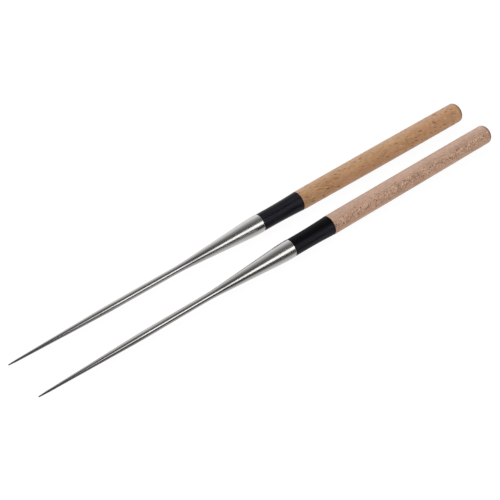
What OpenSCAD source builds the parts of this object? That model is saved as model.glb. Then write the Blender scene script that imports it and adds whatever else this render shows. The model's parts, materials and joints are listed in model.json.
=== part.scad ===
// A pair of plating chopsticks, lying side by side as they come to rest on a table.
// Each stick is a turned steel shaft with a tang, a black ferrule and a turned wooden handle.
// Millimetres. +X runs from the points to the butts, and +Z is up. The origin is in the
// middle of the pair, on the surface that it lies on. The far stick is the one at +Y.

/* [Steel shaft] */
// Length of bare steel, from the point to the ferrule
shaft_len = 150; // [135:1:210]
// Diameter at the very point
point_d = 0.6; // [0.4:0.1:1]
// Length of the short nose behind the point
nose_len = 5; // [3:0.5:10]
// Diameter where the nose ends and the long taper begins
nose_d = 1.2; // [1:0.1:1.8]
// Distance from the point to the end of the long taper
taper_len = 57; // [40:1:62]
// Diameter of the straight shank
shank_d = 3.75; // [3:0.05:4.5]
// Length of the cone that widens from the shank to the shoulder
flare_len = 45; // [30:0.5:48]
// Diameter of the shoulder against the ferrule
shoulder_d = 9.9; // [8.8:0.05:10.2]
// Length of the straight band of the shoulder
shoulder_len = 5; // [5:0.5:8]
// Rounding of the shoulder's rear edge
shoulder_edge = 0.3; // [0.1:0.1:0.6]
// Half the length of the curve between taper and shank
taper_blend = 5; // [2:0.5:8]
// Half the length of the curve between shank and flare
neck_blend = 7; // [3:0.5:9]
// Half the length of the curve between flare and shoulder
knee_blend = 4; // [2:0.5:4]

/* [Tang] */
// Diameter of the tang, the pin that holds ferrule and handle
tang_d = 5; // [4:0.1:5.5]
// Length of the tang behind the shoulder
tang_len = 70; // [40:1:75]
// Chamfer on the end of the tang
tang_chamfer = 0.6; // [0.2:0.1:1]

/* [Ferrule] */
// Length of the ferrule
ferrule_len = 25.7; // [18:0.1:32]
// Diameter of the ferrule's straight front part
ferrule_front_d = 9.6; // [9.2:0.05:10.2]
// Length of the ferrule's straight front part
ferrule_front_len = 5; // [3:0.5:10]
// Diameter of the ferrule where it meets the wood
ferrule_back_d = 10.65; // [10.2:0.05:11]
// Thickness of the ferrule's front wall, which the tang passes through
ferrule_wall = 4; // [2:0.5:6]
// Diameter of the socket that takes the handle's spigot
socket_d = 8; // [7.4:0.1:8.4]
// Chamfer on the ferrule's outer edges
ferrule_chamfer = 0.15; // [0.05:0.05:0.3]

/* [Handle] */
// Length of the far handle's bare wood, from the ferrule to the butt
far_handle_len = 114.3; // [80:0.1:130]
// Length of the near handle's bare wood, from the ferrule to the butt
near_handle_len = 113; // [80:0.1:130]
// Diameter of the wood where it meets the ferrule
handle_front_d = 10.7; // [10.4:0.05:11.1]
// Diameter half way along the far handle
far_middle_d = 11.25; // [10.4:0.05:12]
// Diameter at the butt of the far handle
far_butt_d = 11.15; // [9.6:0.05:12]
// Diameter half way along the near handle
near_middle_d = 10.7; // [10.4:0.05:12]
// Diameter at the butt of the near handle
near_butt_d = 10.55; // [9.6:0.05:12]
// Rounding of the butt's edge
butt_round = 2.5; // [1:0.1:4]
// Chamfer on the wood's front edge
handle_chamfer = 0.1; // [0.05:0.05:0.3]

/* [Fits] */
// Gap all round the tang and the spigot, which the glue fills
glue_gap = 0.05; // [0.02:0.01:0.1]
// Gap between the spigot and the bottom of its socket
spigot_gap = 0.3; // [0.1:0.1:1]
// Gap between the tang and the bottom of its hole
tang_gap = 1; // [0.5:0.5:3]

/* [How the pair lies] */
// Distance between the two axes at the points
point_spacing = 24.8; // [16:0.1:40]
// Distance between the two axes at the butts
butt_spacing = 23; // [14:0.1:40]
// How much further back the near stick lies
stagger = 1; // [0:0.1:20]

/* [Hidden] */
$fn = 96;

ferrule_x = shaft_len;
handle_x = ferrule_x + ferrule_len;
tang_end_x = shaft_len + tang_len;
spigot_x = ferrule_x + ferrule_wall + spigot_gap;
spigot_d = socket_d - 2 * glue_gap;
tang_hole_d = tang_d + 2 * glue_gap;

// Steps of each kind of curve, and rounds of search for the resting tilt
blend_steps = round($fn / 12);
arc_steps = round($fn / 9);
barrel_steps = round($fn / 4);
settle_rounds = 4;

// The far stick's own sizes, and then the near stick's
handle_len = [far_handle_len, near_handle_len];
middle_d = [far_middle_d, near_middle_d];
butt_d = [far_butt_d, near_butt_d];
far = 0;
near = 1;
stick_len = [for (len = handle_len) handle_x + len];
pair_len = max(stick_len[far], stagger + stick_len[near]);

function unit(v) = v / norm(v);

// Curve that rounds corner b of a-b-c and touches both lines at a distance of reach from b
function blend(a, b, c, reach, steps = blend_steps) =
    let (from = b + reach * unit(a - b), to = b + reach * unit(c - b))
    [for (i = [0:steps]) let (s = i / steps) pow(1 - s, 2) * from + 2 * s * (1 - s) * b + s * s * to];

// Quarter circle of radius r about centre, from straight out to straight ahead
function edge_arc(centre, r, steps = arc_steps) =
    [for (i = [0:steps]) centre + r * [sin(90 * i / steps), cos(90 * i / steps)]];

// Diameter at share u of the way along a barrel, given at its front, middle and back
function barrel_d(u, front, middle, back) =
    front + u * (4 * middle - 3 * front - back) + 2 * u * u * (front + back - 2 * middle);

// Outlines are lists of [distance from the point, radius]
function shaft_outline() =
    let (
        point = [0, point_d / 2],
        nose = [nose_len, nose_d / 2],
        taper_end = [taper_len, shank_d / 2],
        flare_start = [shaft_len - shoulder_len - flare_len, shank_d / 2],
        knee = [shaft_len - shoulder_len, shoulder_d / 2],
        rear = [shaft_len, shoulder_d / 2]
    )
    concat(
        [[0, 0]],
        blend([0, 0], point, nose, point_d / 4),
        blend(point, nose, taper_end, nose_len / 4),
        blend(nose, taper_end, flare_start, taper_blend),
        blend(taper_end, flare_start, knee, neck_blend),
        blend(flare_start, knee, rear, knee_blend),
        blend(knee, rear, [shaft_len, 0], shoulder_edge)
    );

function tang_outline() = [
    [shaft_len, tang_d / 2],
    [tang_end_x - tang_chamfer, tang_d / 2],
    [tang_end_x, tang_d / 2 - tang_chamfer],
    [tang_end_x, 0]
];

function ferrule_outline() =
    let (
        sweep_start = ferrule_x + ferrule_front_len,
        sweep_len = ferrule_len - ferrule_front_len,
        swell = (ferrule_back_d - ferrule_front_d) / 2
    )
    concat(
        [[ferrule_x, ferrule_front_d / 2 - ferrule_chamfer]],
        [[ferrule_x + ferrule_chamfer, ferrule_front_d / 2]],
        [for (i = [0:arc_steps]) let (u = i / arc_steps * (1 - ferrule_chamfer / sweep_len))
            [sweep_start + u * sweep_len, ferrule_front_d / 2 + swell * u * u]],
        [[handle_x, ferrule_back_d / 2 - ferrule_chamfer]]
    );

function handle_outline(side) =
    let (len = handle_len[side], barrel_len = len - butt_round)
    concat(
        [[handle_x, handle_front_d / 2 - handle_chamfer]],
        [for (i = [0:barrel_steps]) let (
            start = handle_chamfer / len,
            u = start + (barrel_len / len - start) * i / barrel_steps)
            [handle_x + u * len, barrel_d(u, handle_front_d, middle_d[side], butt_d[side]) / 2]],
        edge_arc([handle_x + barrel_len, barrel_d(barrel_len / len, handle_front_d,
            middle_d[side], butt_d[side]) / 2 - butt_round], butt_round),
        [[handle_x + len, 0]]
    );

// The point of an outline that lies lowest when the axis rises by rise for each millimetre
function lowest(outline, rise) =
    let (depth = max([for (p = outline) p[1] - rise * p[0]]))
    [for (p = outline) if (p[1] - rise * p[0] == depth) p][0];

// How steeply the axis rises when the stick lies on its shoulder and its handle
function rest_rise(side, rise, rounds = settle_rounds) =
    rounds < 1 ? rise :
    let (a = lowest(shaft_outline(), rise), b = lowest(handle_outline(side), rise))
    rest_rise(side, (b[1] - a[1]) / (b[0] - a[0]), rounds - 1);

tilt = [for (side = [far, near]) atan(rest_rise(side, 0))];
lift = [for (side = [far, near])
    max([for (p = concat(shaft_outline(), handle_outline(side)))
        p[1] * cos(tilt[side]) - p[0] * sin(tilt[side])])];

// Turns an outline about the stick's axis, which runs along +X from the point
module turned(outline) {
    rotate([0, 90, 0])
        rotate_extrude()
            polygon([for (p = outline) [p[1], p[0]]]);
}

// Round hole along the stick's axis
module bore(from_x, to_x, d) {
    translate([from_x, 0, 0])
        rotate([0, 90, 0])
            cylinder(d = d, h = to_x - from_x);
}

module steel_shaft() {
    color("silver")
        turned(concat(shaft_outline(), tang_outline()));
}

module ferrule() {
    socket_x = ferrule_x + ferrule_wall;
    over = 1;
    color("black")
        difference() {
            turned(concat([[ferrule_x, 0]], ferrule_outline(), [[handle_x, 0]]));
            bore(ferrule_x - over, socket_x + over, tang_hole_d);
            bore(socket_x, handle_x + over, socket_d);
        }
}

module handle(side) {
    over = 1;
    color("burlywood")
        difference() {
            turned(concat(
                [[spigot_x, 0], [spigot_x, spigot_d / 2], [handle_x, spigot_d / 2]],
                handle_outline(side)));
            bore(spigot_x - over, tang_end_x + tang_gap, tang_hole_d);
        }
}

// Lays a stick down, points towards -X, at rest on the surface z = 0
module laid(side) {
    hand = side == far ? 1 : -1;
    toe_in = atan((point_spacing - butt_spacing) / 2 / stick_len[side]);
    translate([-pair_len / 2 + (side == near ? stagger : 0), hand * point_spacing / 2, lift[side]])
        rotate([0, -tilt[side], -hand * toe_in])
            children();
}

laid(far) steel_shaft();  // far_steel_shaft
laid(far) ferrule();  // far_ferrule
laid(far) handle(far);  // far_handle
laid(near) steel_shaft();  // near_steel_shaft
laid(near) ferrule();  // near_ferrule
laid(near) handle(near);  // near_handle
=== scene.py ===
"""Dresses a packed pair of plating chopsticks for the photograph's view.

Each stick is a turned steel shaft, a black ferrule and a beech handle. The three are turned again
here as fine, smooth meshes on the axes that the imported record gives, and each gets its own finish.
Lengths are in metres, and a stick's own frame has +X running from the point to the butt.
"""
import json
import logging
import math
from dataclasses import dataclass, field
from enum import Enum

import bpy
from mathutils import Matrix, Vector


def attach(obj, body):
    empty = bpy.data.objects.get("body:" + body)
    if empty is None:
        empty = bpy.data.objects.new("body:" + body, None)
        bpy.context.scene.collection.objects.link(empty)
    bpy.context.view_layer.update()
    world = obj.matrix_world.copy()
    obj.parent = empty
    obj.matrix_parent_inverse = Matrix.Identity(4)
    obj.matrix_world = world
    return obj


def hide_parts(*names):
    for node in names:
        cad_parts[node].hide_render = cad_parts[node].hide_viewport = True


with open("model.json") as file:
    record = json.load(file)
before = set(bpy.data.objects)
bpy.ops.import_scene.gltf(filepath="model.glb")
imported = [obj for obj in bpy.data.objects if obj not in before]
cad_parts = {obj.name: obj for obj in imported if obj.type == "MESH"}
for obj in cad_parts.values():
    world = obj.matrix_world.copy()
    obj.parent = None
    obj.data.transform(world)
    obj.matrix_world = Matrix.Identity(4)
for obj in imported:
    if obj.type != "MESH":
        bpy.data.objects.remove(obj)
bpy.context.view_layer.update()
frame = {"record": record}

log = logging.getLogger("chopsticks")

Outline = list[tuple[float, float]]
Colour = tuple[float, float, float]
Span = tuple[float, float]

TURNED_SIDES = 128
CURVE_STEPS = 20
SMALL_CURVE_STEPS = 6
CREASE = math.radians(28.0)
ON_AXIS = 1e-9


class Side(Enum):
    """Which stick of the pair, as the names of its nodes and mounts begin."""

    FAR = "far"
    NEAR = "near"


# Turned shapes

def rounded(a: Vector, b: Vector, c: Vector, reach: float, steps: int = CURVE_STEPS) -> Outline:
    """Curves the corner b of the line a-b-c.

    Args:
        a: Point before the corner.
        b: The corner.
        c: Point after the corner.
        reach: Distance from the corner at which the curve meets each line.
        steps: Number of pieces of the curve.

    Returns:
        The curve's points, from the side of a to the side of c.
    """
    start = b + (a - b).normalized() * reach
    end = b + (c - b).normalized() * reach
    points = []
    for i in range(steps + 1):
        s = i / steps
        p = start * (1 - s) ** 2 + b * (2 * s * (1 - s)) + end * s ** 2
        points.append((p.x, p.y))
    return points


def turn(name: str, outline: Outline, closed: bool) -> bpy.types.Object:
    """Turns an outline about the stick's axis into a smooth closed mesh.

    Args:
        name: Name of the new object.
        outline: Points as (distance from the point of the stick, radius).
        closed: True for a ring whose outline closes on itself, False for a solid whose outline
            begins and ends on the axis.

    Returns:
        The new object, linked to the scene and still at the origin.
    """
    verts: list[tuple[float, float, float]] = []
    rows: list[list[int]] = []
    for x, r in outline:
        if r < ON_AXIS:
            rows.append([len(verts)])
            verts.append((x, 0.0, 0.0))
            continue
        rows.append(list(range(len(verts), len(verts) + TURNED_SIDES)))
        for k in range(TURNED_SIDES):
            angle = 2 * math.pi * k / TURNED_SIDES
            verts.append((x, r * math.sin(angle), r * math.cos(angle)))
    faces: list[tuple[int, ...]] = []
    pairs = list(zip(rows, rows[1:] + rows[:1])) if closed else list(zip(rows, rows[1:]))
    for near_row, far_row in pairs:
        for k in range(TURNED_SIDES):
            n = (k + 1) % TURNED_SIDES
            if len(near_row) == 1:
                faces.append((near_row[0], far_row[k], far_row[n]))
            elif len(far_row) == 1:
                faces.append((near_row[k], far_row[0], near_row[n]))
            else:
                faces.append((near_row[k], far_row[k], far_row[n], near_row[n]))
    mesh = bpy.data.meshes.new(name)
    mesh.from_pydata(verts, [], faces)
    mesh.validate()
    mesh.set_sharp_from_angle(angle=CREASE)
    mesh.update()
    piece = bpy.data.objects.new(name, mesh)
    bpy.context.scene.collection.objects.link(piece)
    return piece


# Finishes

class Nodes:
    """A short way to lay out one material's nodes."""

    def __init__(self, name: str) -> None:
        """Starts an empty material.

        Args:
            name: Name of the material.
        """
        self.material = bpy.data.materials.new(name)
        self.material.use_nodes = True
        self.tree = self.material.node_tree
        self.tree.nodes.clear()
        self.output = self.add("ShaderNodeOutputMaterial")

    def add(self, kind: str, **settings: object) -> bpy.types.Node:
        """Adds a node.

        Args:
            kind: Blender's name for the kind of node.
            **settings: Properties of the node and their values.

        Returns:
            The new node.
        """
        node = self.tree.nodes.new(kind)
        for key, value in settings.items():
            setattr(node, key, value)
        return node

    def join(self, source: bpy.types.NodeSocket, target: bpy.types.NodeSocket) -> None:
        """Links one socket to another."""
        self.tree.links.new(source, target)

    def feed(self, target: bpy.types.NodeSocket, value: object) -> None:
        """Links a socket to another, or writes a plain value into it.

        Args:
            target: Socket that is fed.
            value: Socket or plain value that feeds it.
        """
        if isinstance(value, bpy.types.NodeSocket):
            self.join(value, target)
        else:
            target.default_value = value

    def math(self, operation: str, a: object, b: object = 0.0, c: object = 0.0,
             clamp: bool = False) -> bpy.types.NodeSocket:
        """Does one step of arithmetic.

        Args:
            operation: Name of the Math node's operation.
            a: First number or socket.
            b: Second number or socket.
            c: Third number or socket.
            clamp: Whether the result is held between 0 and 1.

        Returns:
            The socket with the result.
        """
        node = self.add("ShaderNodeMath", operation=operation, use_clamp=clamp)
        for socket, value in zip(node.inputs, (a, b, c)):
            self.feed(socket, value)
        return node.outputs[0]

    def place(self) -> bpy.types.NodeSocket:
        """Gives the point's place in the stick's own frame."""
        return self.add("ShaderNodeTexCoord").outputs["Object"]

    def stretched(self, scale: Colour, turn_deg: float = 0.0, shift: Colour = (0.0, 0.0, 0.0),
                  lean_deg: float = 0.0) -> bpy.types.NodeSocket:
        """Gives the point's place, turned about the stick and then stretched.

        Args:
            scale: Features for each metre along the stick, across it and through it.
            turn_deg: Turn about the stick's axis that comes first.
            shift: Offset in features, which picks another part of the pattern.
            lean_deg: Lean of the pattern away from the stick's axis.

        Returns:
            The socket with the changed place.
        """
        turned = self.add("ShaderNodeMapping", vector_type="POINT")
        angles = (math.radians(turn_deg), 0.0, math.radians(lean_deg))
        turned.inputs["Rotation"].default_value = angles
        self.join(self.place(), turned.inputs["Vector"])
        scaled = self.add("ShaderNodeMapping", vector_type="POINT")
        scaled.inputs["Scale"].default_value = scale
        scaled.inputs["Location"].default_value = shift
        self.join(turned.outputs[0], scaled.inputs["Vector"])
        return scaled.outputs[0]

    def noise(self, place: bpy.types.NodeSocket, detail: float = 2.0, rough: float = 0.5,
              warp: float = 0.0) -> bpy.types.NodeSocket:
        """Gives a cloudy value about 0.5, with one feature for each unit of place.

        Args:
            place: Socket with the stretched place.
            detail: Number of finer layers.
            rough: Strength of each finer layer.
            warp: How far the clouds are pulled about.

        Returns:
            The socket with the value.
        """
        node = self.add("ShaderNodeTexNoise")
        node.inputs["Scale"].default_value = 1.0
        node.inputs["Detail"].default_value = detail
        node.inputs["Roughness"].default_value = rough
        node.inputs["Distortion"].default_value = warp
        self.join(place, node.inputs["Vector"])
        return node.outputs["Fac"]

    def cells(self, place: bpy.types.NodeSocket, dimensions: str = "3D") -> bpy.types.Node:
        """Gives a cell pattern, with one cell for each unit of place.

        Args:
            place: Socket with the stretched place.
            dimensions: "2D" for cells along and around only, or "3D".

        Returns:
            The node, with the distance from the cell's middle and a colour for each cell.
        """
        node = self.add("ShaderNodeTexVoronoi", feature="F1", voronoi_dimensions=dimensions)
        node.inputs["Scale"].default_value = 1.0
        self.join(place, node.inputs["Vector"])
        return node

    def split(self, place: bpy.types.NodeSocket) -> bpy.types.NodeOutputs:
        """Splits a place up.

        Args:
            place: Socket with the place.

        Returns:
            The sockets X, Y and Z.
        """
        node = self.add("ShaderNodeSeparateXYZ")
        self.join(place, node.inputs[0])
        return node.outputs

    def ramp(self, value: bpy.types.NodeSocket, low: float, high: float, out_low: float = 0.0,
             out_high: float = 1.0, smooth: bool = True) -> bpy.types.NodeSocket:
        """Maps a range of a value onto another range, held at both ends.

        Args:
            value: Socket with the value.
            low: Start of the range.
            high: End of the range.
            out_low: Result at the start.
            out_high: Result at the end.
            smooth: Whether the map eases in and out.

        Returns:
            The socket with the result.
        """
        node = self.add("ShaderNodeMapRange", clamp=True,
                        interpolation_type="SMOOTHSTEP" if smooth else "LINEAR")
        ends = {"From Min": low, "From Max": high, "To Min": out_low, "To Max": out_high}
        for key, number in ends.items():
            node.inputs[key].default_value = number
        self.join(value, node.inputs["Value"])
        return node.outputs["Result"]

    def blend(self, share: object, base: object, top: object,
              mode: str = "MIX") -> bpy.types.NodeSocket:
        """Mixes two colours.

        Args:
            share: How much of top shows.
            base: Colour or socket underneath.
            top: Colour or socket on top.
            mode: Way of mixing.

        Returns:
            The socket with the mixed colour.
        """
        node = self.add("ShaderNodeMix", data_type="RGBA", blend_type=mode, clamp_factor=True)
        self.feed(node.inputs[0], share)
        for socket, value in ((node.inputs[6], base), (node.inputs[7], top)):
            self.feed(socket, (*value, 1.0) if isinstance(value, tuple) else value)
        return node.outputs[2]

    def relief(self, height: bpy.types.NodeSocket, depth: float, strength: float = 1.0,
               below: bpy.types.NodeSocket | None = None) -> bpy.types.NodeSocket:
        """Turns a height into a bumped normal.

        Args:
            height: Socket with the height, from 0 to 1.
            depth: Real height of that range.
            strength: Share of the bump that shows.
            below: Normal of a coarser bump underneath.

        Returns:
            The socket with the normal.
        """
        node = self.add("ShaderNodeBump")
        node.inputs["Strength"].default_value = strength
        node.inputs["Distance"].default_value = depth
        self.join(height, node.inputs["Height"])
        if below is not None:
            self.join(below, node.inputs["Normal"])
        return node.outputs["Normal"]

    def surface(self, **values: object) -> bpy.types.Node:
        """Adds the surface shader.

        Args:
            **values: Colours, numbers and sockets by the names of the shader's sockets, with an
                underscore for each blank.

        Returns:
            The shader node.
        """
        shader = self.add("ShaderNodeBsdfPrincipled")
        for key, value in values.items():
            socket = shader.inputs[key.replace("_", " ")]
            self.feed(socket, (*value, 1.0) if isinstance(value, tuple) else value)
        self.join(shader.outputs[0], self.output.inputs["Surface"])
        return shader


@dataclass(frozen=True)
class SatinSteel:
    """Stainless steel with a satin polish drawn along the shaft over faint turning rings.

    The slim shank is smoother than the shoulder, and a painted shade in its colour makes its
    reflections a little darker. The spans are distances from the point of the stick.
    """

    colour: Colour = (0.565, 0.555, 0.543)
    dull: Colour = (0.505, 0.490, 0.473)
    roughness: float = 0.215
    slim_roughness: float = 0.13
    painted_shade_tint: Colour = (0.84, 0.84, 0.84)
    anisotropy: float = 0.55
    ring_pitch: float = 0.0006
    ring_share: float = 0.10
    line_pitch: float = 0.00028
    line_length: float = 0.022
    line_share: float = 0.90
    smudge: float = 0.024
    smudge_share: float = 0.35
    smudge_roughness: float = 0.02
    grain_roughness: float = 0.012
    grain_depth: float = 0.0000001
    painted_shade_start: Span = (0.060, 0.078)
    painted_shade_end: Span = (0.102, 0.135)
    rougher: Span = (0.100, 0.145)

    def build(self, name: str) -> bpy.types.Material:
        """Makes the steel material.

        Args:
            name: Name of the material.

        Returns:
            The new material.
        """
        n = Nodes(name)
        rings = n.noise(n.stretched((1 / self.ring_pitch, 60.0, 60.0)), detail=2.0, rough=0.6)
        lines = n.noise(n.stretched((1 / self.line_length, 1 / self.line_pitch, 1 / self.line_pitch)),
                        detail=3.0, rough=0.62)
        clouds = n.stretched((1 / self.smudge, 170.0, 170.0))
        clouds = n.noise(clouds, detail=3.0, rough=0.55, warp=0.4)
        grain = n.math("MULTIPLY", lines, self.line_share)
        grain = n.math("MULTIPLY_ADD", rings, self.ring_share, grain)
        worn = n.ramp(clouds, 0.44, 0.70)
        colour = n.blend(n.ramp(grain, 0.34, 0.64), self.dull, self.colour)
        colour = n.blend(n.math("MULTIPLY", worn, self.smudge_share), colour, self.dull)

        # Painted shade: the colour is multiplied down on the slim shank, so that its reflections come
        # out darker.
        along = n.split(n.place())["X"]
        slim = n.math("MULTIPLY", n.ramp(along, *self.painted_shade_start),
                      n.ramp(along, *self.painted_shade_end, 1.0, 0.0))
        colour = n.blend(slim, colour, self.painted_shade_tint, "MULTIPLY")
        rough = n.ramp(along, *self.rougher, self.slim_roughness, self.roughness)
        rough = n.math("SUBTRACT", rough, self.grain_roughness / 2)
        rough = n.math("MULTIPLY_ADD", grain, self.grain_roughness, rough)
        rough = n.math("MULTIPLY_ADD", worn, self.smudge_roughness, rough)

        tangent = n.add("ShaderNodeTangent", direction_type="RADIAL", axis="X")
        n.surface(Base_Color=colour, Metallic=1.0, Roughness=rough, Anisotropic=self.anisotropy,
                  Normal=n.relief(grain, self.grain_depth, 0.2), Tangent=tangent.outputs[0])
        return n.material


@dataclass(frozen=True)
class FerrulePlastic:
    """Black moulded plastic, smooth, with faint scuffs and a painted sheen along one side."""

    colour: Colour = (0.0040, 0.0036, 0.0052)
    sheen_and_scuff_tint: Colour = (0.0215, 0.0198, 0.0285)
    painted_sheen_turn_deg: float = 0.0
    painted_sheen_band: Span = (0.45, 0.98)
    sheen_band_roughness: float = 0.10
    scuff_share: float = 0.40
    scuff_turn_deg: float = 17.0
    roughness: float = 0.30
    ior: float = 1.24
    texture_pitch: float = 0.00030
    texture_roughness: float = 0.06
    texture_depth: float = 0.00001
    radius: float = 0.0052

    def build(self, name: str) -> bpy.types.Material:
        """Makes the plastic material.

        Args:
            name: Name of the material.

        Returns:
            The new material.
        """
        n = Nodes(name)
        # Painted sheen: a paler, rougher band on one side of the ferrule, turned about its axis and
        # streaked along it. The scattered scuffs in the same tint are wear.
        turned = n.stretched((1.0, 1.0, 1.0), self.painted_sheen_turn_deg)
        facing = n.math("DIVIDE", n.split(turned)["Z"], self.radius)
        streaks = n.noise(n.stretched((55.0, 800.0, 800.0), self.painted_sheen_turn_deg), detail=3.0, warp=0.6)
        painted_ferrule_sheen = n.math("MULTIPLY", n.ramp(facing, *self.painted_sheen_band),
                        n.ramp(streaks, 0.34, 0.62, 0.25, 1.0))
        fine = n.noise(n.stretched((1 / self.texture_pitch,) * 3), detail=3.0)
        scuffs = n.noise(n.stretched((240.0, 2600.0, 2600.0), self.scuff_turn_deg))
        scuffs = n.math("MULTIPLY", n.ramp(scuffs, 0.64, 0.74), self.scuff_share)
        colour = n.blend(painted_ferrule_sheen, self.colour, self.sheen_and_scuff_tint)
        colour = n.blend(scuffs, colour, self.sheen_and_scuff_tint)
        rough = n.math("MULTIPLY_ADD", painted_ferrule_sheen, self.sheen_band_roughness, self.roughness)
        rough = n.math("MULTIPLY_ADD", fine, self.texture_roughness, rough)
        n.surface(Base_Color=colour, Roughness=rough, IOR=self.ior,
                  Normal=n.relief(fine, self.texture_depth, 0.5))
        return n.material


@dataclass(frozen=True)
class Flecks:
    """One kind of short mark on a handle: its cell, its number, its colour and its place around.

    The band is where the marks set in and where they are all there. It is given as the height on
    the turned handle, in radii.
    """

    length: float
    width: float
    share: float
    depth: float
    band: Span
    colour: Colour
    lean_deg: float = 0.0
    sunk: float = 1.0
    stray: float = 0.12


@dataclass(frozen=True)
class Beech:
    """Sanded beech with soft growth bands, fine fibre and the flecks of its rays.

    The painted sheen is a paler tint on the upper side and the painted glint a lighter tint on the
    lower side, both painted light, and the blush is a rosy tint in patches. The fleck's colour also
    darkens the end grain round the butt, partly as its own tone and partly as painted shade on the
    rim.
    """

    pale: Colour
    deep: Colour
    fleck: Colour
    turn_deg: float
    flecks: tuple[Flecks, ...]
    painted_sheen_tint: Colour
    painted_sheen_share: float
    blush: Colour
    blush_share: float
    painted_glint: Colour
    painted_glint_share: float
    handle_end: float
    handle_r: float = 0.0054
    seed: float = 0.0
    roughness: float = 0.46
    fibre_roughness: float = 0.14
    fibre_share: float = 0.20
    growth_share: float = 0.24
    patch_share: float = 0.26
    speckle_share: float = 0.30
    speckle_lean_deg: float = 9.0
    blush_lean_deg: float = -6.0
    dusk: Span = (0.82, 1.04)
    pore_share: float = 0.30
    butt_start: float = 0.0031
    butt_full: float = 0.0014
    butt_share: float = 0.72
    butt_roughness: float = 0.15
    grain_depth: float = 0.00003
    fleck_order: float = 5.0

    def marks(self, n: Nodes, kind: Flecks, height: bpy.types.NodeSocket,
              order: float) -> bpy.types.NodeSocket:
        """Scatters one kind of fleck.

        Args:
            n: The material being laid out.
            kind: Size, number and place of the flecks.
            height: Socket with the height on the turned handle, in radii.
            order: Number that sets this kind's pattern apart.

        Returns:
            The socket with 1 inside a fleck and 0 outside.
        """
        place = n.stretched((1 / kind.length, 1 / kind.width, 1.0), self.turn_deg,
                            (self.seed + order, self.seed - order, 0.0), kind.lean_deg)
        warp = n.noise(n.stretched((420.0, 900.0, 60.0), self.turn_deg, (order, self.seed, 0.0)))
        warp = n.math("SUBTRACT", warp, 0.5)
        cells = n.cells(place, "2D")
        chance = n.add("ShaderNodeSeparateColor")
        n.join(cells.outputs["Color"], chance.inputs[0])
        facing = n.math("MULTIPLY_ADD", warp, kind.stray, height)
        share = n.math("MULTIPLY", n.ramp(facing, *kind.band), kind.share)
        wanted = n.math("GREATER_THAN", share, chance.outputs[0])
        size = n.math("MULTIPLY_ADD", chance.outputs[1], 0.22, 0.24)
        inside = n.math("SUBTRACT", size, cells.outputs["Distance"])
        inside = n.math("MULTIPLY_ADD", warp, 0.30, inside)
        mark = n.math("MULTIPLY", wanted, n.ramp(inside, -0.04, 0.12))
        strength = n.math("MULTIPLY_ADD", chance.outputs[2], 0.5, 0.5)
        return n.math("MULTIPLY", n.math("MULTIPLY", mark, strength), kind.depth)

    def build(self, name: str) -> bpy.types.Material:
        """Makes the wood material.

        Args:
            name: Name of the material.

        Returns:
            The new material.
        """
        n = Nodes(name)
        turn_deg, seed, lean = self.turn_deg, self.seed, self.speckle_lean_deg
        sides = n.split(n.stretched((1.0, 1.0, 1.0), turn_deg))
        aside = n.math("DIVIDE", sides["Y"], self.handle_r)
        height = n.math("DIVIDE", sides["Z"], self.handle_r)

        growth = n.stretched((13.0, 110.0, 420.0), turn_deg, (seed, seed, 0.0))
        growth = n.noise(growth, 3.0, 0.5, 0.9)
        fibre = n.noise(n.stretched((190.0, 2300.0, 2300.0), turn_deg, (0.0, seed, seed)), 3.0, 0.65)
        patch = n.stretched((75.0, 170.0, 170.0), turn_deg, (seed, 0.0, seed), lean)
        patch = n.noise(patch, warp=0.5)
        speckle = n.stretched((430.0, 1750.0, 1750.0), turn_deg, (seed, seed, 0.0), lean)
        speckle = n.noise(speckle, 1.0)
        tone = n.math("MULTIPLY", growth, self.growth_share)
        tone = n.math("MULTIPLY_ADD", fibre, self.fibre_share, tone)
        tone = n.math("MULTIPLY_ADD", patch, self.patch_share, tone)
        tone = n.math("MULTIPLY_ADD", speckle, self.speckle_share, tone)
        colour = n.blend(n.ramp(tone, 0.43, 0.57), self.deep, self.pale)
        rosy = n.stretched((48.0, 120.0, 120.0), turn_deg, (0.0, seed, -seed), self.blush_lean_deg)
        rosy = n.ramp(n.noise(rosy, warp=0.6), 0.46, 0.66, 0.0, self.blush_share)
        colour = n.blend(rosy, colour, self.blush)

        # Painted sheen: the upper side is blended towards a paler tint and speckled, as the lamps'
        # sheen would show there.
        painted_sheen_mask = n.math("MULTIPLY", n.ramp(aside, 0.05, 0.75), self.painted_sheen_share)
        colour = n.blend(painted_sheen_mask, colour, self.painted_sheen_tint)
        dusk = n.ramp(speckle, 0.35, 0.65, *self.dusk)
        shade = n.add("ShaderNodeCombineColor")
        for channel in shade.inputs:
            n.join(dusk, channel)
        colour = n.blend(painted_sheen_mask, colour, shade.outputs[0], "MULTIPLY")
        # Painted light: the lower side is blended towards a lighter tint, as bounced light would show
        # there.
        lower = n.math("MULTIPLY", n.ramp(aside, -0.05, -0.80), self.painted_glint_share)
        colour = n.blend(lower, colour, self.painted_glint)

        sunk = None
        for order, kind in enumerate(self.flecks):
            layer = self.marks(n, kind, height, self.fleck_order * order)
            colour = n.blend(layer, colour, kind.colour)
            depth = n.math("MULTIPLY", layer, kind.sunk)
            sunk = depth if sunk is None else n.math("MAXIMUM", sunk, depth)

        pores = n.cells(n.stretched((340.0, 4000.0, 4000.0), turn_deg, (0.0, 0.0, seed)))
        pore = n.math("MULTIPLY", n.ramp(pores.outputs["Distance"], 0.32, 0.10), self.pore_share)
        colour = n.blend(pore, colour, self.deep, "MULTIPLY")

        # The butt's end grain is darker, partly as its own tone and partly as painted shade on the
        # rim that faces away from the lamps.
        end_grain_and_rim_shade = n.ramp(sides["X"], self.handle_end - self.butt_start,
                           self.handle_end - self.butt_full)
        colour = n.blend(n.math("MULTIPLY", end_grain_and_rim_shade, self.butt_share), colour, self.fleck)

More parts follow.
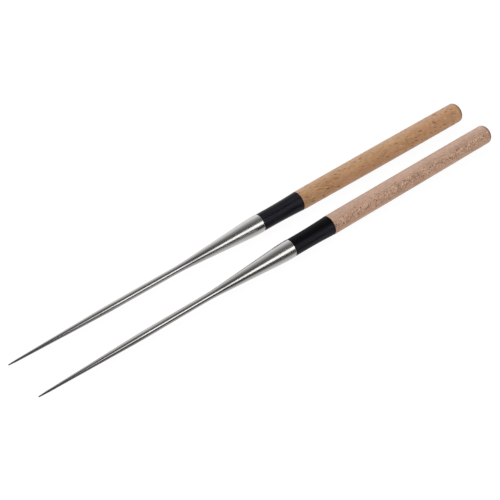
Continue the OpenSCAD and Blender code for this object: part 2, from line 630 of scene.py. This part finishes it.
        low = n.math("MULTIPLY_ADD", sunk, -0.9, fibre)
        low = n.math("MULTIPLY_ADD", pore, -0.8, low)
        smoothest = self.roughness - self.fibre_roughness / 2
        rough = n.math("MULTIPLY_ADD", fibre, self.fibre_roughness, smoothest)
        rough = n.math("MULTIPLY_ADD", end_grain_and_rim_shade, self.butt_roughness, rough)
        n.surface(Base_Color=colour, Roughness=rough, IOR=1.5,
                  Normal=n.relief(low, self.grain_depth, 0.5))
        return n.material


@dataclass(frozen=True)
class PaleFloor:
    """White matt floor that the camera and shiny things see as nearly plain white.

    In the steel it is dimmer at three places, each with its span and its share of the glow: towards
    the points along X, in front of the pair and between the sticks along Y. These dim places are
    painted shade in the glow that only reflections see. The last two lie closer in towards the
    points. Far from the pair the camera sees plain white.
    """

    colour: Colour = (0.86, 0.86, 0.86)
    glow: float = 1.06
    seen_share: float = 0.90
    plain: Span = (0.30, 0.90)
    points: Span = (-0.165, -0.060)
    points_share: float = 0.60
    front: Span = (-0.038, -0.016)
    front_share: float = 0.05
    gap: Span = (-0.012, 0.008)
    gap_share: float = 0.22
    closer: tuple[Span, ...] = ((-0.060, 0.000), (-0.095, -0.065))
    closer_by: Span = (-0.006, -0.008)

    def build(self, name: str) -> bpy.types.Material:
        """Makes the floor material.

        Args:
            name: Name of the material.

        Returns:
            The new material.
        """
        n = Nodes(name)
        path = n.add("ShaderNodeLightPath")
        seen = n.math("MAXIMUM", path.outputs["Is Camera Ray"], path.outputs["Is Glossy Ray"])
        seen = n.math("MAXIMUM", seen, path.outputs["Is Transmission Ray"])
        matt = n.add("ShaderNodeBsdfDiffuse")
        matt.inputs["Color"].default_value = (*self.colour, 1.0)
        sides = n.split(n.place())
        # Painted shade: the glow that glossy rays see is dimmed towards the points, in front of the
        # pair and between the sticks, while the camera sees the full glow.
        place = sides["Y"]
        for span, shift in zip(self.closer, self.closer_by):
            place = n.math("ADD", place, n.ramp(sides["X"], *span, shift, 0.0))
        front = n.ramp(place, *self.front, self.front_share, 1.0, False)
        gap = n.ramp(place, *self.gap, self.gap_share, 1.0, False)
        gap = n.math("MAXIMUM", gap, n.math("LESS_THAN", sides["Y"], self.gap[0]))
        dim = n.ramp(sides["X"], *self.points, self.points_share, 1.0)
        dim = n.math("MULTIPLY", n.math("MULTIPLY", dim, front), gap)
        dim = n.math("MAXIMUM", dim, path.outputs["Is Camera Ray"])
        glow = n.add("ShaderNodeEmission")
        n.feed(glow.inputs["Strength"], n.math("MULTIPLY", dim, self.glow))
        mixed = n.add("ShaderNodeMixShader")
        reach = n.add("ShaderNodeVectorMath", operation="LENGTH")
        n.join(n.place(), reach.inputs[0])
        plain = n.ramp(reach.outputs["Value"], *self.plain, self.seen_share, 1.0)
        n.feed(mixed.inputs[0], n.math("MULTIPLY", seen, plain))
        n.join(matt.outputs[0], mixed.inputs[1])
        n.join(glow.outputs[0], mixed.inputs[2])
        n.join(mixed.outputs[0], n.output.inputs["Surface"])
        return n.material


# The pieces of a stick

@dataclass(frozen=True)
class Axis:
    """Where a stick lies: the middle of its butt and the way it points."""

    butt: Vector
    heading: Vector

    @classmethod
    def from_record(cls, side: Side) -> "Axis":
        """Reads a stick's axis from the mount on its butt.

        Args:
            side: Which stick.

        Returns:
            The stick's axis in the row frame.
        """
        mounts = {m["name"]: m for m in frame["record"]["mounts"]}
        mount = mounts[f"{side.value}_butt_face"]
        return cls(Vector(mount["pos_m"]), Vector(mount["axis"]).normalized())

    def matrix(self, length: float) -> Matrix:
        """Gives the stick's own frame, with its origin at the point.

        Args:
            length: Length of the whole stick.

        Returns:
            The frame as a matrix, with +X along the stick and +Z as near up as that leaves.
        """
        across = Vector((0.0, 0.0, 1.0)).cross(self.heading).normalized()
        rise = self.heading.cross(across)
        rotation = Matrix((self.heading, across, rise)).transposed().to_4x4()
        return Matrix.Translation(self.butt - self.heading * length) @ rotation


@dataclass
class SteelShaft:
    """The turned steel, from the point to the hidden end of the tang."""

    bare_length: float = 0.150
    point_d: float = 0.0006
    nose_length: float = 0.005
    nose_d: float = 0.0012
    taper_length: float = 0.057
    shank_d: float = 0.00375
    flare_length: float = 0.045
    shoulder_d: float = 0.0099
    shoulder_length: float = 0.005
    shoulder_edge: float = 0.0003
    taper_blend: float = 0.005
    neck_blend: float = 0.007
    knee_blend: float = 0.004
    tang_d: float = 0.005
    tang_length: float = 0.070
    tang_chamfer: float = 0.0006

    def outline(self) -> Outline:
        """Draws the outline of shaft and tang.

        Returns:
            Its points, from the axis at the point to the axis at the tang's end.
        """
        end = self.bare_length
        tip = Vector((0.0, 0.0))
        point = Vector((0.0, self.point_d / 2))
        nose = Vector((self.nose_length, self.nose_d / 2))
        taper_end = Vector((self.taper_length, self.shank_d / 2))
        flare = Vector((end - self.shoulder_length - self.flare_length, self.shank_d / 2))
        knee = Vector((end - self.shoulder_length, self.shoulder_d / 2))
        rear = Vector((end, self.shoulder_d / 2))
        tang_end = end + self.tang_length
        return [
            (0.0, 0.0),
            *rounded(tip, point, nose, self.point_d / 4, SMALL_CURVE_STEPS),
            *rounded(point, nose, taper_end, self.nose_length / 4),
            *rounded(nose, taper_end, flare, self.taper_blend),
            *rounded(taper_end, flare, knee, self.neck_blend),
            *rounded(flare, knee, rear, self.knee_blend),
            *rounded(knee, rear, Vector((end, 0.0)), self.shoulder_edge, SMALL_CURVE_STEPS),
            (end, self.tang_d / 2),
            (tang_end - self.tang_chamfer, self.tang_d / 2),
            (tang_end, self.tang_d / 2 - self.tang_chamfer),
            (tang_end, 0.0),
        ]

    def build(self, name: str) -> bpy.types.Object:
        """Turns the shaft."""
        return turn(name, self.outline(), closed=False)


@dataclass
class Ferrule:
    """The black ring between steel and wood, with the tang's hole and the handle's socket."""

    start: float
    length: float = 0.0257
    front_d: float = 0.0096
    front_length: float = 0.005
    back_d: float = 0.01065
    wall: float = 0.004
    hole_d: float = 0.0051
    socket_d: float = 0.0080
    chamfer: float = 0.00015

    def outline(self) -> Outline:
        """Draws the closed outline.

        Returns:
            Its points, along the outside first and then back through the bores.
        """
        end = self.start + self.length
        sweep = self.length - self.front_length
        swell = (self.back_d - self.front_d) / 2
        outside = [(self.start, self.front_d / 2 - self.chamfer),
                   (self.start + self.chamfer, self.front_d / 2)]
        for i in range(CURVE_STEPS + 1):
            u = i / CURVE_STEPS * (1 - self.chamfer / sweep)
            outside.append((self.start + self.front_length + u * sweep,
                            self.front_d / 2 + swell * u * u))
        floor = self.start + self.wall
        return [
            *outside,
            (end, self.back_d / 2 - self.chamfer),
            (end, self.socket_d / 2),
            (floor, self.socket_d / 2),
            (floor, self.hole_d / 2),
            (self.start, self.hole_d / 2),
        ]

    def build(self, name: str) -> bpy.types.Object:
        """Turns the ferrule."""
        return turn(name, self.outline(), closed=True)


@dataclass
class Handle:
    """The turned wood, with its spigot in front, the tang's hole and a rounded butt."""

    start: float
    spigot_start: float
    bore_end: float
    length: float
    middle_d: float
    butt_d: float
    front_d: float = 0.0107
    spigot_d: float = 0.0079
    bore_d: float = 0.0051
    butt_round: float = 0.0025
    chamfer: float = 0.0001
    steps: int = 60

    def radius(self, share: float) -> float:
        """Gives the radius at a share of the way from front to butt.

        Args:
            share: 0 at the front and 1 at the butt.

        Returns:
            The radius of the smooth barrel there.
        """
        front, middle, back = self.front_d, self.middle_d, self.butt_d
        bend = 2 * share ** 2 * (front + back - 2 * middle)
        return (front + share * (4 * middle - 3 * front - back) + bend) / 2

    def outline(self) -> Outline:
        """Draws the outline of spigot, barrel and butt.

        Returns:
            Its points, from the bottom of the bore round to the middle of the butt.
        """
        first = self.chamfer / self.length
        last = 1 - self.butt_round / self.length
        end = self.start + self.length
        points = [
            (self.bore_end, 0.0),
            (self.bore_end, self.bore_d / 2),
            (self.spigot_start, self.bore_d / 2),
            (self.spigot_start, self.spigot_d / 2),
            (self.start, self.spigot_d / 2),
            (self.start, self.front_d / 2 - self.chamfer),
        ]
        for i in range(self.steps + 1):
            share = first + (last - first) * i / self.steps
            points.append((self.start + share * self.length, self.radius(share)))
        centre = self.radius(last) - self.butt_round
        for i in range(1, CURVE_STEPS + 1):
            angle = math.pi / 2 * i / CURVE_STEPS
            points.append((end - self.butt_round + self.butt_round * math.sin(angle),
                           centre + self.butt_round * math.cos(angle)))
        points.append((end, 0.0))
        return points

    def build(self, name: str) -> bpy.types.Object:
        """Turns the handle."""
        return turn(name, self.outline(), closed=False)


@dataclass
class Stick:
    """One chopstick: shaft, ferrule and handle on one axis."""

    side: Side
    handle_length: float
    middle_d: float
    butt_d: float
    ferrule_finish: FerrulePlastic
    wood: Beech
    steel: SatinSteel
    spigot_gap: float = 0.0003
    tang_gap: float = 0.001
    shaft: SteelShaft = field(default_factory=SteelShaft)

    def assemble(self) -> dict[str, bpy.types.Object]:
        """Builds the stick's pieces, lays them on their axis and dresses them.

        Returns:
            The pieces by the name of the node that each replaces.
        """
        ferrule = Ferrule(start=self.shaft.bare_length)
        handle_start = ferrule.start + ferrule.length
        handle = Handle(
            start=handle_start,
            spigot_start=ferrule.start + ferrule.wall + self.spigot_gap,
            bore_end=self.shaft.bare_length + self.shaft.tang_length + self.tang_gap,
            length=self.handle_length,
            middle_d=self.middle_d,
            butt_d=self.butt_d,
        )
        frame_matrix = Axis.from_record(self.side).matrix(handle_start + handle.length)
        label = self.side.value
        parts = (
            ("steel_shaft", self.shaft, self.steel, "steel"),
            ("ferrule", ferrule, self.ferrule_finish, "ferrule_plastic"),
            ("handle", handle, self.wood, f"{label}_wood"),
        )
        made = {}
        for part_name, part, finish, slot in parts:
            node = f"{label}_{part_name}"
            piece = part.build(f"{node}_turned")
            piece.matrix_world = frame_matrix
            piece.data.materials.append(finish.build(f"{node}_finish"))
            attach(piece, "root")
            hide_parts(node)
            made[node] = piece
            log.info("%s: %d faces", piece.name, len(piece.data.polygons))
        return made


# The studio

@dataclass
class Lamp:
    """A soft rectangular lamp that faces the middle of the pair."""

    name: str
    direction: Colour
    distance: float
    along: float
    across: float
    radiance: float
    shift: float = 0.0
    mirrored: bool = True

    def build(self) -> bpy.types.Object:
        """Hangs the lamp, with its long side along the sticks.

        Returns:
            The lamp object.
        """
        data = bpy.data.lights.new(self.name, "AREA")
        data.shape = "RECTANGLE"
        data.size = self.along
        data.size_y = self.across
        data.energy = self.radiance * math.pi * self.along * self.across
        towards = Vector(self.direction).normalized()
        side = Vector((1.0, 0.0, 0.0))
        up = towards.cross(side).normalized()
        side = up.cross(towards)
        rotation = Matrix((side, up, towards)).transposed().to_4x4()
        lamp = bpy.data.objects.new(self.name, data)
        place = towards * self.distance + side * self.shift
        lamp.matrix_world = Matrix.Translation(place) @ rotation
        lamp.visible_glossy = self.mirrored
        bpy.context.scene.collection.objects.link(lamp)
        return lamp


@dataclass
class Studio:
    """Floor, surrounding light and lamps."""

    floor_size: float = 6.0
    overhead: float = 0.20
    far_slope: float = 0.66
    far_wall: float = 1.20
    near_wall: float = 0.035
    places: tuple[float, ...] = (0.0, 0.52, 0.70, 0.86)
    points_share: float = 0.4
    points_fade: Span = (0.08, 0.36)

    def floor(self) -> bpy.types.Object:
        """Lays the floor under the pair.

        Returns:
            The floor object.
        """
        half = self.floor_size / 2
        mesh = bpy.data.meshes.new("studio_floor")
        corners = [(-half, -half, 0.0), (half, -half, 0.0), (half, half, 0.0), (-half, half, 0.0)]
        mesh.from_pydata(corners, [], [(0, 1, 2, 3)])
        floor = bpy.data.objects.new("studio_floor", mesh)
        bpy.context.scene.collection.objects.link(floor)
        mesh.materials.append(PaleFloor().build("studio_floor_white"))
        return floor

    def world(self) -> bpy.types.World:
        """Surrounds the pair with a dim ceiling, a bright far wall and a dim near wall.

        Returns:
            The world, which the camera itself sees as white.
        """
        world = bpy.data.worlds.new("studio_world")
        world.use_nodes = True
        tree = world.node_tree
        tree.nodes.clear()
        place = tree.nodes.new("ShaderNodeTexCoord")
        split = tree.nodes.new("ShaderNodeSeparateXYZ")
        tree.links.new(place.outputs["Generated"], split.inputs[0])
        angle = tree.nodes.new("ShaderNodeMath")
        angle.operation = "ARCTAN2"
        tree.links.new(split.outputs["Y"], angle.inputs[0])
        tree.links.new(split.outputs["Z"], angle.inputs[1])
        share = tree.nodes.new("ShaderNodeMapRange")
        share.inputs["From Min"].default_value = -math.pi / 2
        share.inputs["From Max"].default_value = math.pi / 2
        tree.links.new(angle.outputs[0], share.inputs["Value"])
        ramp = tree.nodes.new("ShaderNodeValToRGB")
        levels = (self.near_wall, self.overhead, self.far_slope, self.far_wall)
        stops = self._elements(ramp.color_ramp, len(levels))
        for spot, level, element in zip(self.places, levels, stops):
            element.position = spot
            element.color = (level, level, level, 1.0)
        tree.links.new(share.outputs["Result"], ramp.inputs["Fac"])
        fade = tree.nodes.new("ShaderNodeMapRange")
        fade.interpolation_type = "SMOOTHSTEP"
        ends = (*self.points_fade, self.points_share, 1.0)
        for key, number in zip(("From Min", "From Max", "To Min", "To Max"), ends):
            fade.inputs[key].default_value = number
        tree.links.new(split.outputs["X"], fade.inputs["Value"])
        path = tree.nodes.new("ShaderNodeLightPath")
        around = tree.nodes.new("ShaderNodeBackground")
        tree.links.new(ramp.outputs["Color"], around.inputs["Color"])
        tree.links.new(fade.outputs["Result"], around.inputs["Strength"])
        white = tree.nodes.new("ShaderNodeBackground")
        white.inputs["Color"].default_value = (1.0, 1.0, 1.0, 1.0)
        mixed = tree.nodes.new("ShaderNodeMixShader")
        output = tree.nodes.new("ShaderNodeOutputWorld")
        tree.links.new(path.outputs["Is Camera Ray"], mixed.inputs[0])
        tree.links.new(around.outputs[0], mixed.inputs[1])
        tree.links.new(white.outputs[0], mixed.inputs[2])
        tree.links.new(mixed.outputs[0], output.inputs["Surface"])
        bpy.context.scene.world = world
        return world

    @staticmethod
    def _elements(ramp: bpy.types.ColorRamp, count: int) -> list[bpy.types.ColorRampElement]:
        """Adds stops to a colour ramp up to a number.

        Args:
            ramp: The colour ramp.
            count: Number of stops that it needs.

        Returns:
            All its stops.
        """
        while len(ramp.elements) < count:
            ramp.elements.new(1.0)
        return list(ramp.elements)

    def build(self) -> None:
        """Builds the floor, the world and the lamps."""
        self.floor()
        self.world()
        lamps = (
            Lamp("strip_lamp", (0.0, -0.760, 0.650), 1.0, 1.24, 0.52, 2.15, shift=0.87),
            Lamp("strip_end_lamp", (0.0, -0.760, 0.650), 1.0, 0.12, 0.46, 1.3, shift=0.19),
            Lamp("side_lamp", (-0.40, 0.20, 0.70), 1.3, 0.8, 0.9, 2.0),
            Lamp("soft_lamp", (0.05, 0.42, 0.88), 1.0, 1.4, 0.8, 1.10, mirrored=False),
            Lamp("fill_lamp", (0.10, -0.86, 0.42), 1.2, 1.2, 0.6, 1.50, mirrored=False),
        )
        for lamp in lamps:
            lamp.build()
            log.info("%s at %.1f m", lamp.name, lamp.distance)


@dataclass
class PhotoCamera:
    """The photograph's camera, fitted to the seams, butts, widths and centre lines."""

    azimuth_deg: float = -38.293
    elevation_deg: float = 45.639
    distance: float = 0.70647
    lens: float = 100.0
    sensor: float = 36.0
    target: Colour = (-0.007866, 0.003617, 0.0)

    def build(self) -> bpy.types.Object:
        """Sets the camera up and makes it the scene's own.

        Returns:
            The camera object.
        """
        azimuth, elevation = math.radians(self.azimuth_deg), math.radians(self.elevation_deg)
        level = math.cos(elevation)
        back = Vector((math.sin(azimuth) * level, -math.cos(azimuth) * level, math.sin(elevation)))
        right = Vector((math.cos(azimuth), math.sin(azimuth), 0.0))
        rotation = Matrix((right, back.cross(right), back)).transposed().to_4x4()
        data = bpy.data.cameras.new("photo_camera")
        data.lens = self.lens
        data.sensor_width = self.sensor
        data.clip_start = 0.01
        data.clip_end = 50.0
        camera = bpy.data.objects.new("photo_camera", data)
        place = Vector(self.target) + back * self.distance
        camera.matrix_world = Matrix.Translation(place) @ rotation
        bpy.context.scene.collection.objects.link(camera)
        bpy.context.scene.camera = camera
        return camera


def far_stick() -> Stick:
    """Describes the far stick.

    Returns:
        The stick, of tan wood with sparse flecks, and with a painted sheen on top of its ferrule.
    """
    dark = (0.130, 0.036, 0.006)
    flecks = (
        Flecks(length=0.0030, width=0.0007, share=0.11, depth=0.65, band=(0.0, 0.7),
               colour=(0.70, 0.45, 0.235), lean_deg=12.0, sunk=0.0),
        Flecks(length=0.0034, width=0.00062, share=0.13, depth=1.0, band=(0.1, 0.8),
               colour=dark, lean_deg=12.0, sunk=0.2),
        Flecks(length=0.0060, width=0.0005, share=0.10, depth=0.50, band=(-0.4, 0.6),
               colour=dark, lean_deg=-9.0, sunk=0.2),
    )
    wood = Beech(pale=(0.590, 0.328, 0.150), deep=(0.430, 0.214, 0.087), fleck=dark,
                 turn_deg=-42.0, flecks=flecks, painted_sheen_tint=(0.600, 0.378, 0.238), painted_sheen_share=0.50,
                 blush=(0.540, 0.255, 0.138), blush_share=0.50,
                 painted_glint=(0.650, 0.400, 0.218), painted_glint_share=0.60, handle_end=0.2900, seed=3.7)
    plastic = FerrulePlastic(painted_sheen_turn_deg=-44.0, ior=1.19)
    return Stick(Side.FAR, handle_length=0.1143, middle_d=0.01125, butt_d=0.01115,
                 ferrule_finish=plastic, wood=wood, steel=SatinSteel())


def near_stick() -> Stick:
    """Describes the near stick.

    Returns:
        The stick, of pinker wood with a band of flecks, and with a painted sheen low on its ferrule.
    """
    dark = (0.120, 0.034, 0.012)
    flecks = (
        Flecks(length=0.00095, width=0.0013, share=0.82, depth=0.92, band=(0.870, 0.975),
               colour=(0.820, 0.560, 0.362), sunk=0.0, stray=0.04),
        Flecks(length=0.00080, width=0.0013, share=0.44, depth=1.0, band=(0.910, 0.990),
               colour=dark, lean_deg=6.0, sunk=0.2, stray=0.04),
        Flecks(length=0.0011, width=0.0011, share=0.16, depth=0.7, band=(0.60, 0.97),
               colour=dark, sunk=0.2, stray=0.10),
    )
    wood = Beech(pale=(0.610, 0.372, 0.247), deep=(0.448, 0.252, 0.161), fleck=dark,
                 turn_deg=-53.0, flecks=flecks, painted_sheen_tint=(0.620, 0.425, 0.328), painted_sheen_share=0.60,
                 blush=(0.590, 0.322, 0.222), blush_share=0.55,
                 painted_glint=(0.620, 0.400, 0.265), painted_glint_share=0.15, handle_end=0.2887, seed=11.3)
    plastic = FerrulePlastic(painted_sheen_turn_deg=-86.0, sheen_and_scuff_tint=(0.026, 0.0245, 0.031), ior=1.14)
    return Stick(Side.NEAR, handle_length=0.1130, middle_d=0.0107, butt_d=0.01055,
                 ferrule_finish=plastic, wood=wood, steel=SatinSteel())


def main() -> None:
    """Builds the camera, the studio and both sticks, and notes the sizes."""
    logging.basicConfig(level=logging.INFO, format="%(message)s")
    scene = bpy.context.scene
    scene.view_settings.view_transform = "Standard"
    PhotoCamera().build()
    Studio().build()
    for stick in (far_stick(), near_stick()):
        made = stick.assemble()
        log.info("%s stick: %s", stick.side.value, ", ".join(sorted(made)))


if __name__ == "__main__":
    main()
